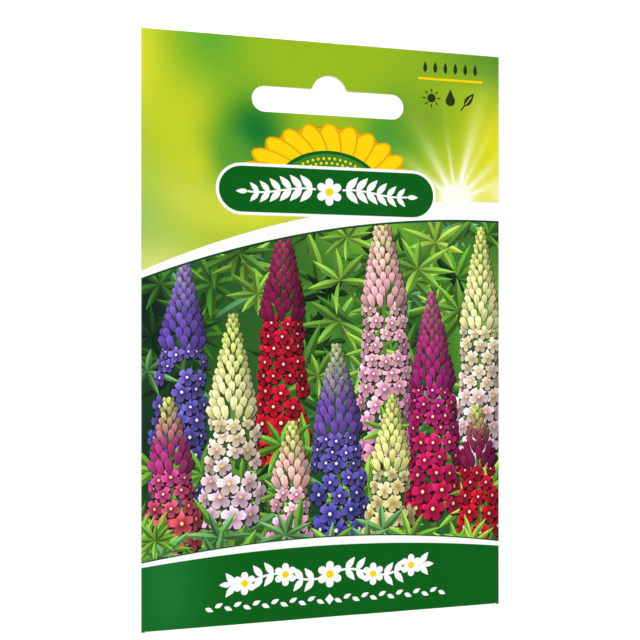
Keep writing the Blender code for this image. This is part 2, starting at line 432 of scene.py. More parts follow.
# Parts of a flower as shares of its width
PETAL_LENGTH = 0.55
PETAL_WIDTH = 0.5
PATCH_RADIUS = 0.53
EYE_RADIUS = 0.09


def flower(s, r, size, wide, lean, heart, rim, eye, bright):
    """Five petals round an eye, narrowed by wide where the flower is seen from the side."""
    under = lighter(mix(heart, SHADE, 0.45), 0.46 * bright)
    draw(turned(ring_outline(PATCH_RADIUS * size, 9), s + 0.1, r - 0.26, lean, max(wide, 0.5)), under)
    for k in range(5):
        angle = lean + math.pi / 2 + 2 * math.pi * (k + 0.5) / 5
        lit = bright * (1.0 + 0.17 * math.sin(angle) - 0.1 * math.cos(angle)) * rng.uniform(0.9, 1.08)
        inner, outer = lighter(heart, lit * 0.8), lighter(rim, lit)

        def shade(x, y, inner=inner, outer=outer):
            away = math.hypot((x - s) / max(wide, 0.35), y - r) / (size * 0.56)
            return mix(inner, outer, 1.5 * away - 0.1)

        draw(turned(petal_outline(PETAL_LENGTH * size, PETAL_WIDTH * size), s, r, angle, wide), shade)
    draw(turned(ring_outline(EYE_RADIUS * size, 5), s, r, 0, wide), lighter(eye, bright))


def bud(s, r, size, angle, foot, tip, bright):
    """A closed bud: one petal shape, shaded along and across."""
    def shade(x, y):
        along = math.hypot(x - s, y - r) / size
        return lighter(mix(foot, tip, along), bright * (1.06 - 0.3 * (x - s) / size))

    dark = lighter(mix(foot, SHADE, 0.4), 0.6 * bright)
    draw(turned(petal_outline(size * 1.05, size * 0.72, 7), s + 0.06, r - 0.12, angle), dark)
    draw(turned(petal_outline(size, size * 0.6), s, r, angle), shade)


print("a petal's outline has", len(petal_outline(1, 1)), "points")

# %% [markdown]
# ## The garden picture: spikes
# A tall spike is a rule: rings of flowers round a stem, wide below, and rings of closed buds that narrow to
# its tip. Each ring is turned a little against the one under it. In each ring the flowers at the sides are
# drawn first, so that those in front cover them.


# %% Rings of a spike
def spike_reach(t, open_share):
    """Half the width of a spike as a share of its widest, from its foot (0) to its tip (1)."""
    if t < open_share:
        return 1.0 - 0.26 * (t / open_share) ** 1.5
    return 0.62 * (1 - (t - open_share) / (1 - open_share)) ** 0.85


def ring_turns(reach, size, odd):
    """The places round a ring that face the reader, those at its sides first."""
    around = max(4, round(2 * math.pi * reach / size))
    turns = [2 * math.pi * (k + 0.5 * odd) / around + rng.uniform(-0.12, 0.12) for k in range(around)]
    return sorted((turn for turn in turns if math.cos(turn) > -0.2), key=math.cos)


def brightness(turn):
    """Light falls from the upper left, so a spike is darker at its right side."""
    return (0.76 + 0.3 * math.cos(turn) - 0.08 * math.sin(turn)) * rng.uniform(0.9, 1.08)


def stem_place(foot, top, t):
    """Where the stem stands across the page, at a share t of the spike's height."""
    return foot[0] + (top[0] - foot[0]) * t


print("half a spike's width, foot to tip:", [round(spike_reach(k / 5, 0.6), 2) for k in range(6)])

# %% [markdown]
# The lower part of a spike is in open flower. Its flowers get smaller towards the buds, and those at the
# side of a ring are seen edge on, so they are narrower and darker. Now and then a place stays empty, where a
# flower has dropped.

# %% Open flowers of a spike
EMPTY_SHARE = 0.05
FLOWER_AT_FOOT = 5.2
FLOWER_SHRINKS = 2.0
RING_PITCH = 0.74


def open_flowers(foot, top, width, low_inks, high_inks, eye, open_share):
    """Rings of flowers from the foot up. Gives the height where the next ring would stand."""
    tall = top[1] - foot[1]
    lean = math.atan2(foot[0] - top[0], tall)
    r = foot[1]
    ring = 0
    while r < foot[1] + tall * open_share:
        t = (r - foot[1]) / tall
        reach = (width / 2 - 1.2) * spike_reach(t, open_share)
        size = FLOWER_AT_FOOT - FLOWER_SHRINKS * t / open_share
        for turn in ring_turns(reach, size, ring % 2):
            if rng.random() < EMPTY_SHARE:
                continue
            share = t / open_share + rng.uniform(-0.15, 0.15)
            heart, rim = mix(low_inks[0], high_inks[0], share), mix(low_inks[1], high_inks[1], share)
            out = reach * rng.uniform(0.86, 1.12)
            flower(stem_place(foot, top, t) + out * math.sin(turn) + rng.uniform(-0.25, 0.25),
                   r - 0.2 * size * math.cos(turn) + rng.uniform(-0.5, 0.5), size * rng.uniform(0.86, 1.1),
                   0.48 + 0.52 * max(math.cos(turn), 0), lean + rng.uniform(-0.6, 0.6), heart, rim, eye,
                   brightness(turn))
        r += size * RING_PITCH
        ring += 1
    return r


print("open flowers shrink from", FLOWER_AT_FOOT, "to", FLOWER_AT_FOOT - FLOWER_SHRINKS, "mm")

# %% [markdown]
# The buds over them stand closer and closer towards the tip. They are drawn from the tip down, so that each
# ring covers the feet of the one above it, as the scales of a cone do. A bud at the side leans outwards.

# %% Buds and the whole spike
BUD_LOW = 3.4
BUD_SHRINKS = 1.8
BUD_PITCH_LOW = 1.75
BUD_PITCH_SHRINKS = 0.85
BUD_LEAN = 0.5


def closed_buds(foot, top, width, buds, open_share, r):
    """Rings of buds from about the height r to the tip."""
    tall = top[1] - foot[1]
    rows = []
    r -= 0.9
    while r < top[1] - 0.4:
        u = (r - foot[1] - tall * open_share) / (tall * (1 - open_share))
        rows.append((r, u))
        r += BUD_PITCH_LOW - BUD_PITCH_SHRINKS * u
    for number, (r, u) in enumerate(reversed(rows)):
        t = (r - foot[1]) / tall
        reach = max(0.3, (width / 2 - 1.0) * spike_reach(max(t, open_share), open_share))
        size = BUD_LOW - BUD_SHRINKS * max(u, 0)
        for turn in ring_turns(reach, size * 0.62, number % 2):
            colour = mix(buds[0], buds[1], (u - 0.25) * 1.5 + rng.uniform(-0.12, 0.12))
            bud(stem_place(foot, top, t) + reach * math.sin(turn), r - size * 0.45, size,
                math.pi / 2 - BUD_LEAN * math.sin(turn) * (1 - 0.3 * u), lighter(colour, 0.72),
                lighter(colour, 1.12), brightness(turn))


def spike(foot, top, width, low_inks, high_inks, buds, eye, open_share):
    """A whole spike. foot and top are its ends; low_inks and high_inks are (heart, rim) of its flowers."""
    stem = mix(LEAF_MID, buds[0], 0.25)
    draw([(foot[0] - 0.8, foot[1] - 20), (foot[0] + 0.8, foot[1] - 20), (top[0] + 0.25, top[1] - 1),
          (top[0] - 0.25, top[1] - 1)], lighter(stem, 0.8))
    buds_from = open_flowers(foot, top, width, low_inks, high_inks, eye, open_share)
    closed_buds(foot, top, width, buds, open_share, buds_from)


print("buds shrink from", BUD_LOW, "to", round(BUD_LOW - BUD_SHRINKS, 1), "mm")

# %% [markdown]
# Each kind of spike has two pairs of inks, heart and rim: the first for the flowers at its foot, the second
# for those below its buds. Between them the colour runs over from one pair to the other.

# %% Flower inks
ROSE = ((ink(206, 92, 150), ink(246, 172, 206)), (ink(226, 130, 150), ink(250, 206, 206)))
CRIMSON = ((ink(120, 4, 22), ink(216, 22, 40)), (ink(124, 6, 38), ink(196, 20, 56)))
VIOLET = ((ink(40, 34, 108), ink(88, 86, 176)), (ink(60, 44, 128), ink(122, 104, 192)))
BLUSH = ((ink(214, 140, 186), ink(246, 216, 234)), (ink(236, 212, 150), ink(250, 240, 196)))
CORAL = ((ink(180, 34, 54), ink(236, 98, 104)), (ink(150, 30, 92), ink(208, 84, 146)))
MAGENTA = ((ink(140, 6, 50), ink(206, 24, 78)), (ink(130, 12, 84), ink(190, 44, 128)))
CREAM = ((ink(232, 190, 96), ink(251, 236, 164)), (ink(222, 206, 120), ink(250, 246, 190)))
LIME = ink(196, 214, 108)
PLUM = ink(118, 22, 66)
print("violet rim at the foot, from 0 to 1:", [round(part, 2) for part in VIOLET[0][1]])

# %% [markdown]
# Now the bed is planted from the back to the front: tall spikes, leaves over their feet, nearer spikes and
# more leaves. A line gives a spike's foot and tip, its width, its flower inks, the inks of its buds from
# below to the tip, the ink of the eyes, and the share of its height that is in flower.

# %% Plant the bed
spike((-32.5, 30), (-31.0, 77), 13.0, *VIOLET, (ink(96, 70, 160), ink(150, 128, 190)), WHITE, 0.62)
spike((35.0, 34), (35.5, 86), 12.5, *BLUSH, (ink(238, 226, 160), LIME), ink(240, 220, 120), 0.58)
spike((-11.0, 36), (-10.0, 85), 13.0, *CRIMSON, (PLUM, ink(150, 60, 90)), ink(250, 220, 190), 0.6)
spike((13.0, 36), (12.0, 90), 13.5, *ROSE, (ink(236, 170, 176), ink(226, 206, 150)), WHITE, 0.6)
leaf_bed(18, 18, 42, 8.5, LEAF_MID, LEAF_LIGHT)
spike((-21.5, 24), (-21.0, 66), 13.5, *BLUSH, (ink(236, 230, 160), LIME), ink(240, 220, 120), 0.52)
spike((24.0, 24), (23.5, 71), 14.0, *MAGENTA, (ink(150, 34, 104), ink(170, 90, 120)),
      ink(252, 226, 160), 0.56)
leaf_bed(10, 16, 28, 7.5, LEAF_MID, LEAF_LIGHT)
spike((2.0, 20), (1.5, 60), 13.5, *VIOLET, (ink(104, 74, 158), ink(176, 190, 130)), WHITE, 0.55)
spike((-33.5, 19), (-34.5, 49), 11.5, *CORAL, (ink(160, 50, 112), LIME), ink(252, 224, 160), 0.52)
spike((-8.8, 18), (-8.2, 43), 10.5, *ROSE, (ink(240, 180, 170), LIME), WHITE, 0.5)
spike((13.6, 18), (14.2, 48), 11.5, *CREAM, (ink(228, 228, 140), LIME), ink(226, 150, 50), 0.5)
spike((35.0, 18), (34.5, 46), 11.5, *CRIMSON, (PLUM, LIME), ink(250, 220, 190), 0.52)
leaf_bed(22, 12, 19, 7.0, LEAF_MID, LEAF_LIGHT)
print("shapes with the flowers:", len(SHAPES))

# %% [markdown]
# ## Header
# The header fades between soft greens and yellows, like sun through leaves out of focus. It is one shape
# with a colour rule: a few large blurred spots laid over each other. A small sun stands low at its right. A
# ray is given by its direction in degrees, its width in degrees, its reach and its strength. The rays are
# part of the same rule, so they fade smoothly into the green.


# %% Colours of the header
HEADER_GREEN = ink(152, 187, 27)
HEADER_SPOTS = [
    (-43, 117, 11, 19, ink(232, 228, 44)),
    (-44, 98, 8, 12, ink(158, 194, 70)),
    (-26, 124, 8, 13, ink(100, 172, 44)),
    (-31, 106, 8, 10, ink(198, 210, 34)),
    (-29, 91, 11, 7, ink(200, 214, 78)),
    (-46, 84, 12, 8, ink(140, 190, 104)),
    (-16, 88, 15, 6, ink(216, 219, 58)),
    (-36, 73, 12, 8, ink(228, 228, 134)),
    (-16.5, 105, 6.5, 7, ink(0, 106, 42)),
    (-21.5, 99.5, 6, 6, ink(84, 154, 44)),
    (-29.5, 97.5, 4, 5, ink(200, 210, 40)),
    (16, 108, 7, 8, ink(60, 146, 46)),
    (13, 105, 4, 4, ink(70, 150, 50)),
    (2, 122, 14, 8, ink(150, 184, 24)),
    (39, 123, 15, 8, ink(84, 142, 38)),
    (30, 113, 10, 8, ink(158, 188, 28)),
    (22, 110, 7, 6, ink(124, 164, 34)),
    (42, 104, 10, 10, ink(232, 222, 14)),
    (38, 94, 14, 7, ink(228, 220, 30)),
    (42, 94, 5, 3.5, ink(250, 246, 190)),
]
SUN_S, SUN_R = 29.4, 91.6
RAYS = [
    (143, 5.5, 20, 0.6),
    (119, 6, 21, 0.7),
    (98, 2.4, 18, 0.85),
    (75, 5.5, 28, 0.9),
    (63, 4, 25, 0.5),
    (44, 5, 20, 0.7),
    (25, 4.5, 18, 0.65),
]
RAY_FADE = 0.62
SUN_GLOWS = [(1.1, 4.2), (0.34, 9.0)]
SUNLIGHT = ink(255, 255, 240)


def header(s, r):
    """Green and yellow out of focus, with the sun's glow and rays over them."""
    colour = blurred(s, r, HEADER_GREEN, HEADER_SPOTS)
    out = math.hypot(s - SUN_S, r - SUN_R)
    angle = math.degrees(math.atan2(r - SUN_R, s - SUN_S))
    glow = 0.0
    for strength, wide in SUN_GLOWS:
        glow += strength * math.exp(-(out / wide) ** 2)
    for ray, wide, far, strength in RAYS:
        off = abs((angle - ray + 180) % 360 - 180)
        glow += strength * math.exp(-(off / wide) ** 2) * math.exp(-(out / (RAY_FADE * far)) ** 2)
    return mix(colour, SUNLIGHT, glow)


print("header at its middle, from 0 to 1:", [round(part, 2) for part in header(0, 120)])

# %% [markdown]
# ## Bands over the picture
# Leaves and stems run past the picture's edges while it is drawn. The bands are laid over them afterwards,
# as the white sweep, the header, the white arc and the footer, and trim the picture cleanly. The footer's
# green is a little lighter at its left end. A thin dark line is laid over each joint of picture and white.


# %% Lay the bands
def footer(s, r):
    return mix(DEEP_GREEN, FOOTER_GLOW, math.exp(-((s + 34.5) / 7.5) ** 2 - ((r - 9) / 13) ** 2))


band(picture_top, lambda s: HEIGHT, WHITE)
band(lambda s: picture_top(s) - 0.15, lambda s: picture_top(s) + 0.3, LINE_GREEN, 40)
band(header_edge, lambda s: HEIGHT, header)
band(lambda s: -BOTTOM_ARC, lambda s: picture_low(s), WHITE)
band(lambda s: picture_low(s) - 0.1, lambda s: picture_low(s) + 0.16, LINE_GREEN, 40)
band(lambda s: BOTTOM_FLAP_FOLD, footer_top, footer)
print("shapes with the bands:", len(SHAPES))

# %% [markdown]
# ## Ornaments
# The front carries plain garden ornament, and all of it is drawn from the same few shapes: discs, labels
# with round ends, strokes, pointed leaves and round-petalled blossoms. Each gets a function here, so that a
# garland is only a list of places.


# %% Ornament shapes
def disc(s, r, radius, colour, steps=20, tall=1.0):
    draw([(s + radius * math.cos(a), r + tall * radius * math.sin(a)) for a in
          (2 * math.pi * k / steps for k in range(steps))], colour)


def pill(s, r, wide, tall, colour, steps=10):
    """A label with round ends."""
    end = wide / 2 - tall / 2
    points = [(s + end + tall / 2 * math.cos(a), r + tall / 2 * math.sin(a)) for a in
              (-math.pi / 2 + math.pi * k / steps for k in range(steps + 1))]
    draw(points + [(2 * s - x, 2 * r - y) for x, y in points], colour)


def stroke(route, thick, colour):
    """A line of even thickness along a route."""
    left, right = [], []
    for k, (x, y) in enumerate(route):
        ax, ay = route[max(0, k - 1)]
        bx, by = route[min(len(route) - 1, k + 1)]
        long = math.hypot(bx - ax, by - ay)
        nx, ny = (ay - by) / long * thick / 2, (bx - ax) / long * thick / 2
        left.append((x + nx, y + ny))
        right.append((x - nx, y - ny))
    draw(left + right[::-1], colour)


def blade(s, r, length, width, angle, colour):
    """A plain pointed leaf in one ink."""
    upper, lower = half_leaf(length, width, 1, 8), half_leaf(length, width, -1, 8)
    draw(turned(upper + lower[-2:0:-1], s, r, angle), colour)


def blossom(s, r, size, petals, colour, heart):
    """A flat flower of round petals."""
    for k in range(petals):
        angle = math.pi / 2 + 2 * math.pi * k / petals
        draw(turned(petal_outline(size, size * 0.72, 15), s, r, angle), colour)
    disc(s, r, size * 0.3, heart, 12)


print("a plain leaf's half has", len(half_leaf(1, 1, 1, 8)), "points")

# %% [markdown]
# ## Header sign
# Under the slot lies a dark green label with a white rim, a sprig to each side and a blossom between them.
# Half a sunflower rises behind it. Its petals stand in two rows, and each is drawn twice, the darker one a
# little larger, which leaves a thin rim round the lighter one.


# %% Header sign
SIGN_R = 92.6
SIGN_WIDE = 48.0
SIGN_TALL = 9.8
SUNFLOWER_WIDE = 1.36


def half_round(radius, colour):
    points = [(radius * math.cos(math.pi * k / 24), radius * math.sin(math.pi * k / 24)) for k in range(25)]
    draw(turned(points, 0, SIGN_R, 0, SUNFLOWER_WIDE), colour)


def sunflower_row(count, length, tint, rim_tint):
    """A fan of petals, each with a thin darker rim."""
    for number in range(count):
        angle = math.radians(6 + 168 * number / (count - 1))
        for longer, wide, colour in ((0.0, 4.9, rim_tint), (-0.35, 4.1, tint)):
            draw(turned(petal_outline(length + longer, wide, 24), 0, SIGN_R, angle, SUNFLOWER_WIDE), colour)


sunflower_row(14, 14.3, ink(250, 186, 0), ink(214, 140, 0))
sunflower_row(13, 15.0, SUN_YELLOW, ink(232, 168, 0))
half_round(9.0, DEEP_GREEN)
half_round(8.3, ink(56, 132, 40))
for reach, count in ((7.3, 25), (6.3, 22)):
    for number in range(count):
        angle = math.pi * (number + 0.5) / count
        disc(SUNFLOWER_WIDE * reach * math.cos(angle), SIGN_R + reach * math.sin(angle), 0.34, SUN_YELLOW, 6)
pill(0, SIGN_R, SIGN_WIDE + 1.3, SIGN_TALL + 1.3, WHITE, 16)
pill(0, SIGN_R, SIGN_WIDE, SIGN_TALL, DEEP_GREEN, 16)
for side in (-1, 1):
    stem = [(side * x, SIGN_R + 0.6 * math.sin(x * 0.3)) for x in (3.0 + 0.78 * k for k in range(20))]
    stroke(stem, 0.42, WHITE)
    for x, y in stem[1:18:3]:
        size = 4.1 * (1 - 0.4 * (abs(x) / 17.5) ** 2)
        for up in (-1, 1):
            angle = up * math.radians(47)
            blade(x, y, size, 0.4 * size, angle if side > 0 else math.pi - angle, WHITE)
    blade(stem[-1][0], stem[-1][1], 2.6, 1.1, 0.0 if side > 0 else math.pi, WHITE)
blossom(0, SIGN_R, 3.0, 6, WHITE, SUN_YELLOW)
print("shapes with the header sign:", len(SHAPES))

# %% [markdown]
# ## Corner signs
# The upper right corner has a yellow rule with a row of small leaves over it and three signs under it: a
# sun, a drop of water and a leaf with its stalk and rib. A drop is most of a circle, closed to a point
# above it.


# %% Corner signs
CORNER_INK = ink(38, 52, 20)
RULE_R = 118.9
LEAF_ROW_R = 120.2
SMALL_SUN = (23.6, 114.6)
SMALL_DROP = (28.1, 114.2)
SMALL_LEAF = (31.4, 113.2)


def drop_outline(s, r, radius, tip, steps):
    """A drop of water round a centre, with its tip above it."""
    turns = [math.radians(150 + 240 * k / steps) for k in range(steps + 1)]
    return [(s + radius * math.cos(turn), r + radius * math.sin(turn)) for turn in turns] + [(s, tip)]


stroke([(20.4, RULE_R), (35.8, RULE_R)], 0.5, SUN_YELLOW)
for number in range(6):
    blade(22.1 + 2.4 * number, LEAF_ROW_R, 2.6, 0.95, math.pi / 2, CORNER_INK)
disc(*SMALL_SUN, 1.0, CORNER_INK, 16)
for number in range(8):
    angle = math.pi * number / 4
    ends = [(SMALL_SUN[0] + d * math.cos(angle), SMALL_SUN[1] + d * math.sin(angle)) for d in (1.35, 2.1)]
    stroke(ends, 0.3, CORNER_INK)
draw(drop_outline(*SMALL_DROP, 1.15, 116.9, 12), CORNER_INK)
blade(*SMALL_LEAF, 3.9, 1.7, math.radians(52), CORNER_INK)
stroke([(30.6, 112.2), (31.8, 113.7)], 0.34, CORNER_INK)
stroke([(31.7, 113.6), (33.2, 115.5)], 0.26, ink(176, 200, 40))
print("shapes with the corner signs:", len(SHAPES))

# %% [markdown]
# ## Footer garland
# A white stem waves along the footer like a slow sine, with pairs of leaves and five blossoms on it. Under
# it runs a thin row of leaves that point up and down in turn, with a small diamond in the middle.


# %% Footer garland
GARLAND_R = 9.6
LOW_ROW_R = 4.1


def garland_height(x):
    return GARLAND_R + 0.9 * math.sin(x * math.pi / 8.0)


stroke([(x, garland_height(x)) for x in (-21.5 + 0.5 * k for k in range(87))], 0.5, WHITE)
for side in (-1, 1):
    for x in (3.6, 6.0, 12.4, 14.8, 20.6):
        for tilt in (52, -52):
            angle = math.radians(tilt if side > 0 else 180 - tilt)
            blade(side * x, garland_height(side * x), 3.3, 1.45, angle, WHITE)
    blade(side * 21.4, garland_height(side * 21.4), 2.6, 1.2, 0.0 if side > 0 else math.pi, WHITE)
for x in (-18.6, -9.8, 0, 9.8, 18.6):
    blossom(x, garland_height(x), 2.9 if x == 0 else 2.5, 6, WHITE, SUN_YELLOW)
for number in range(27):
    x = -26 + 2 * number
    if number == 13:
        draw([(x - 1, LOW_ROW_R), (x, LOW_ROW_R - 1.2), (x + 1, LOW_ROW_R), (x, LOW_ROW_R + 1.2)], WHITE)
    else:
        blade(x - 0.85, LOW_ROW_R, 1.9, 0.95, math.radians(26 if number % 2 else -26), WHITE)
print("shapes on the front:", len(SHAPES))

# %% [markdown]
# ## The back
# The back has a pale field between a green header and footer, with yellow rules between. Its print is drawn
# where each flap lies on the flat sheet, so it meets at the seam when the sheet is folded. Seen from
# behind, left and right change places, so the function that draws there turns x round.


# %% Fields of the back
PALE = ink(238, 243, 216)
CREAM_WHITE = ink(250, 251, 240)
SPROUT_GREEN = ink(84, 158, 48)
BACK_LOW = 19.0
BACK_HIGH = 98.0


def draw_back(points, colour):
    """A shape on the back, x counted to the reader's right. Each flap gets its part."""
    for side in (-1, 1):
        place = [(flap_s(-x, side), h) for x, h in points]
        if min(abs(s) for s, _ in place) < FLAP_FREE_EDGE:
            draw(place, colour)


def back_box(left, right, low, high, colour):
    draw_back([(left, low), (right, low), (right, high), (left, high)], colour)


def back_disc(x, h, radius, colour, steps=24):
    draw_back(turned(ring_outline(radius, steps), x, h, 0), colour)


def back_blade(x, h, length, width, angle, colour):
    upper, lower = half_leaf(length, width, 1, 8), half_leaf(length, width, -1, 8)
    draw_back(turned(upper + lower[-2:0:-1], x, h, angle), colour)


def back_header(s, r):
    return mix(ink(160, 192, 36), ink(84, 150, 44), (r - BACK_HIGH) / 27)


back_box(-FOLD_X, FOLD_X, 0, HEIGHT, PALE)
back_box(-FOLD_X, FOLD_X, BACK_HIGH - 1.0, HEIGHT, SUN_YELLOW)
back_box(-FOLD_X, FOLD_X, BACK_HIGH, HEIGHT, back_header)
back_box(-FOLD_X, FOLD_X, 0, BACK_LOW + 1.0, SUN_YELLOW)
back_box(-FOLD_X, FOLD_X, 0, BACK_LOW, DEEP_GREEN)
draw([(-BLEED, BOTTOM_FLAP_FOLD), (BLEED, BOTTOM_FLAP_FOLD), (BLEED, -BOTTOM_FLAP_HEIGHT),
      (-BLEED, -BOTTOM_FLAP_HEIGHT)], DEEP_GREEN)
print("the pale field is", BACK_HIGH - BACK_LOW - 2, "mm high between its rules")

# %% [markdown]
# A packet tells on its back how to sow. Here signs do it without a word, and they start with three round
# ones: a sun for a bright place, a drop for water and a tuft of leaves for growth.


# %% Signs for sun, water and growth
SIGN_X = (-24.0, 0.0, 24.0)
SIGN_H = 84.0
for x in SIGN_X:
    back_disc(x, SIGN_H, 7.4, DEEP_GREEN, 36)
    back_disc(x, SIGN_H, 6.7, CREAM_WHITE, 36)
back_disc(SIGN_X[0], SIGN_H, 2.3, SUN_YELLOW)
for number in range(12):
    angle = math.pi * number / 6
    ray_x = SIGN_X[0] + 2.9 * math.cos(angle)
    back_blade(ray_x, SIGN_H + 2.9 * math.sin(angle), 2.3, 0.9, angle, SUN_YELLOW)
draw_back(drop_outline(SIGN_X[1], SIGN_H - 1.2, 2.6, SIGN_H + 4.4, 16), ink(70, 150, 200))
for angle in (65, 115, 35, 145, 90):
    long = 7.0 if angle == 90 else 6.0
    back_blade(SIGN_X[2], SIGN_H - 4.2, long, 2.1, math.radians(angle), SPROUT_GREEN)
print("shapes with the round signs:", len(SHAPES))

# %% [markdown]
# Two strips of twelve boxes stand for the months of the year. The months for sowing are filled in green in
# the upper strip, and those of flowering in pink in the lower one. Each box is a dark one with a smaller
# one on it.

# %% Months
MONTHS_LEFT = -32.4
MONTH_STEP = 5.4
for row, (first, last, tint) in enumerate(((2, 5, ink(140, 190, 50)), (5, 8, ink(222, 88, 120)))):
    low = 66.0 - 7.0 * row
    for month in range(12):
        left = MONTHS_LEFT + MONTH_STEP * month
        back_box(left, left + 4.9, low, low + 4.6, DEEP_GREEN)
        inside = tint if first <= month <= last else CREAM_WHITE
        back_box(left + 0.35, left + 4.55, low + 0.35, low + 4.25, inside)
print("shapes with the months:", len(SHAPES))

# %% [markdown]
# The last row grows from a seed in the soil to a plant in flower. Each plant is a line of its place, its
# height and its pairs of leaves, and every seed lies under its plant. Crumbs in two browns make the soil.

# %% From seed to plant
SOIL_HIGH = 33.0
SOIL = ink(96, 66, 40)
back_box(-34.0, 34.0, 25.0, SOIL_HIGH, SOIL)
for number in range(46):
    back_disc(-33.0 + 66.0 * rng.random(), 25.8 + 6.2 * rng.random(), rng.uniform(0.25, 0.5),
              rng.choice((ink(128, 94, 62), ink(70, 46, 28))), 6)
for x, tall, pairs in ((-27.0, 0.0, 0), (-13.5, 5.0, 1), (1.5, 10.0, 3), (17.0, 16.0, 5)):
    back_blade(x - 1.3, SOIL_HIGH - 4.0, 2.6, 1.8, 0, ink(206, 170, 110))
    if pairs:
        back_box(x - 0.3, x + 0.3, SOIL_HIGH - 3.0, SOIL_HIGH + tall, SPROUT_GREEN)
    for pair in range(pairs):
        h = SOIL_HIGH + tall * (pair + 1) / pairs
        for angle in (35, 145):
            back_blade(x, h - 1.0, 5.4 - 0.4 * pair, 1.8, math.radians(angle), SPROUT_GREEN)
for row in range(5):
    for x in (-1.5, 0.0, 1.5) if row < 4 else (0.0,):
        wide = x * (1 - 0.18 * row)
        back_disc(17.0 + wide, SOIL_HIGH + 16.0 + 1.5 * row, 0.95 - 0.08 * row, ink(206, 60, 110), 8)
print("shapes with the plants:", len(SHAPES))

# %% [markdown]
# ## The slot
# The packet hangs on a peg by a standard slot: long and round-ended, with a round bump in the middle of its
# upper edge, where the peg finds its place. The die punches it through every layer, so its outline is drawn
# on the front and on both flaps. Its shape is a chain of arcs, with small fillets where the bump begins.


# %% Slot
SLOT_WIDTH = 34.0
LOBE_RADIUS = 2.77
LOBE_R = 112.0
BUMP_RADIUS = 3.95
SLOT_FILLET = 0.7


def round_part(centre_s, centre_r, radius, start, end, steps):
    return [(centre_s + radius * math.cos(math.radians(start + (end - start) * k / steps)),
             centre_r + radius * math.sin(math.radians(start + (end - start) * k / steps)))
            for k in range(steps + 1)]


def slot_outline():
    end_s = SLOT_WIDTH / 2 - LOBE_RADIUS
    bump_r = PEG_HEIGHT - BUMP_RADIUS
    fillet_r = LOBE_R + LOBE_RADIUS + SLOT_FILLET
    fillet_s = math.sqrt((BUMP_RADIUS + SLOT_FILLET) ** 2 - (fillet_r - bump_r) ** 2)
    lean = math.degrees(math.atan2(fillet_r - bump_r, fillet_s))
    points = round_part(end_s, LOBE_R, LOBE_RADIUS, -90, 90, 20)
    points += round_part(fillet_s, fillet_r, SLOT_FILLET, 270, 180 + lean, 6)
    points += round_part(0, bump_r, BUMP_RADIUS, lean, 180 - lean, 24)[1:-1]
    points += round_part(-fillet_s, fillet_r, SLOT_FILLET, -lean, -90, 6)
    return points + round_part(-end_s, LOBE_R, LOBE_RADIUS, 90, 270, 20)


draw(slot_outline(), HOLE)
draw_back(slot_outline(), HOLE)
print("shapes in the whole pile:", len(SHAPES))

# %% [markdown]
# ## Flatten the pile
# A constrained triangulation takes all outlines at once and cuts them where they cross. Each triangle then
# belongs to the topmost shape over it. Most cuts lie under some other shape and can't be seen, so the
# second triangulation keeps only the edges between two different inks.


# %% Find the ink on top
MERGE = 0.006


def holds(outline, s, r):
    """Whether an outline goes round a point."""
    inside = False
    for (ax, ay), (bx, by) in zip(outline, outline[1:] + outline[:1]):
        if (ay > r) != (by > r) and s < ax + (r - ay) / (by - ay) * (bx - ax):
            inside = not inside
    return inside


def middle(face, points):
    return sum(points[v][0] for v in face) / 3, sum(points[v][1] for v in face) / 3


def top_ink(under, s, r):
    """The topmost shape that really holds the point, or -1 outside the blank and in the slot."""
    if not holds(SHAPES[0][0], s, r):
        return -1
    for shape in sorted(under, reverse=True):
        if holds(SHAPES[shape][0], s, r):
            return -1 if SHAPES[shape][1] == HOLE else shape
    return -1


outline_points = []
outlines = []
for outline, _ in SHAPES:
    outlines.append(list(range(len(outline_points), len(outline_points) + len(outline))))
    outline_points += outline
pile_points, _, pile_faces, _, _, cover = delaunay_2d_cdt(
    [Vector(p) for p in outline_points], [], outlines, 0, MERGE, True)
pile_ink = [top_ink(under, *middle(face, pile_points)) for face, under in zip(pile_faces, cover)]
print("triangles with every hidden cut:", len(pile_faces))


# %% [markdown]
# An edge shows when the two triangles beside it have different inks, or when it lies on the rim of the
# blank. All other cuts are dropped, which takes away four of five of them.


# %% Keep the edges that show
def edges_of(face):
    return [tuple(sorted(pair)) for pair in zip(face, face[1:] + face[:1])]


beside = {}
for face, top in zip(pile_faces, pile_ink):
    for edge in edges_of(face):
        beside.setdefault(edge, []).append(top)
shown_edges = []
for edge, tops in beside.items():
    if len(set(tops)) > 1 or (len(tops) == 1 and tops[0] >= 0):
        shown_edges.append(edge)
print("edges that show:", len(shown_edges), "of", len(beside))


# %% [markdown]
# ## A mesh that can bend
# Loose points are sown where a colour rule or the pouch's swelling needs a finer mesh. Round the little sun
# they stand in rings, so that its rays stay smooth. The fold lines are edges too, so that the sheet can
# bend there.


# %% Points and fold lines
def sown(left, right, low, high, step):
    """Loose points in staggered rows."""
    points = []
    for row in range(int((high - low) / step) + 1):
        for column in range(int((right - left) / step) + 1):
            points.append((left + (column + 0.5 * (row % 2)) * step, low + row * step))
    return points


def fold_lines():
    lines = []
    for k in range(FOLD_STEPS + 1):
        s = FOLD_X + SIDE_ARC * k / FOLD_STEPS
        lines += [((s, 0), (s, HEIGHT)), ((-s, 0), (-s, HEIGHT))]
        r = BOTTOM_CENTRE - BOTTOM_ARC * k / FOLD_STEPS
        lines.append(((-BOTTOM_FLAP_HALF, r), (BOTTOM_FLAP_HALF, r)))
    for x in (SEAM_STEP_START, SEAM_STEP_END):
        for s in (flap_s(x, 1), flap_s(-x, 1)):
            lines.append(((s, BACK_EDGE), (s, HEIGHT)))
        for s in (x, -x):
            lines.append(((s, -BOTTOM_FLAP_HEIGHT + 0.5), (s, BOTTOM_CENTRE)))
    return lines


